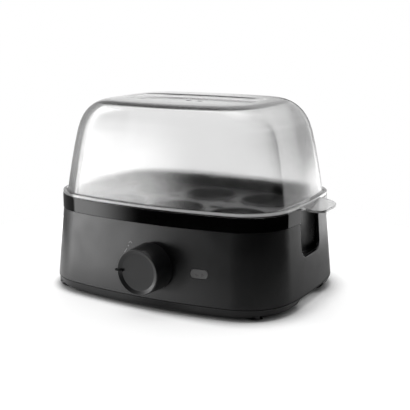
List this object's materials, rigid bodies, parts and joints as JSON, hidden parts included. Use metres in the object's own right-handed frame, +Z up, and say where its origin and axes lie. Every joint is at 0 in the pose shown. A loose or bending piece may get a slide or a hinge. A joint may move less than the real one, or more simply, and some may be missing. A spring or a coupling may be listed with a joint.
{
  "type": "electric egg cooker",
  "caption": "Countertop egg cooker: heated water bowl and perforated tray in a bowed base, under a clear lift-off dome with side grip tabs, with a timer knob on the front.",
  "frame": {"origin": "middle of the footprint, on the worktop that the feet stand on", "axes": "+X to the right of someone facing the knob, +Y towards the back, +Z up"},
  "size_m": [0.206, 0.1589, 0.134],
  "materials": {
    "housing": "fine matt moulded texture",
    "band": "high gloss moulded",
    "steel_bowl": "pressed stainless, satin",
    "silicone": "soft translucent silicone",
    "tray": "satin moulded",
    "clear_lid": "clear polished moulding",
    "cast_heater": "as cast",
    "sheath": "heat-darkened tube",
    "plated_steel": "zinc plated",
    "phenolic": "moulded thermoset",
    "fuse_case": "tinned case",
    "timer_case": "moulded nylon",
    "knob_black": "satin moulded",
    "pointer_black": "black inlay",
    "white_nylon": "moulded nylon",
    "smoked_lens": "translucent smoked moulding",
    "lamp_red": "tinted envelope",
    "board_green": "solder mask",
    "black_rubber": "moulded rubber"
  },
  "bodies": {
    "base": {"housing": "housing", "gloss_band": "band", "water_bowl": "steel_bowl", "bowl_seal": "silicone", "heater_plate": "cast_heater", "heating_element": "sheath", "element_pins": "plated_steel", "heater_nuts": "plated_steel", "thermostat": "phenolic", "thermostat_bracket": "plated_steel", "thermal_fuse": "fuse_case", "fuse_clip": "plated_steel", "heater_screws": "plated_steel", "timer_body": "timer_case", "timer_screws": "plated_steel", "indicator_lens": "smoked_lens", "indicator_lamp": "lamp_red", "indicator_board": "board_green", "board_screws": "plated_steel", "bottom_cover": "housing", "cover_screws": "plated_steel", "band_screws": "plated_steel", "cord_gland": "black_rubber", "terminal_block": "timer_case", "foot_front_left": "black_rubber", "foot_front_right": "black_rubber", "foot_rear_left": "black_rubber", "foot_rear_right": "black_rubber"},
    "lid": {"lid": "clear_lid"},
    "tray": {"egg_tray": "tray"},
    "knob": {"knob": "knob_black", "knob_pointer": "pointer_black", "timer_shaft": "white_nylon"}
  },
  "joints": [
    {"name": "lid_lift", "type": "slide", "parent": "base", "child": "lid", "axis": [0, 0, 1], "range_m": [0, 0.15]},
    {"name": "tray_lift", "type": "slide", "parent": "base", "child": "tray", "axis": [0, 0, 1], "range_m": [0, 0.075]},
    {"name": "knob_turn", "type": "hinge", "parent": "base", "child": "knob", "pos_m": [0.0075, -0.0787, 0.03], "axis": [0, 1, 0], "range_deg": [0, 270]}
  ],
  "couplings": [
    {"joint": "tray_lift", "follows": "lid_lift", "ratio": 0.5}
  ]
}
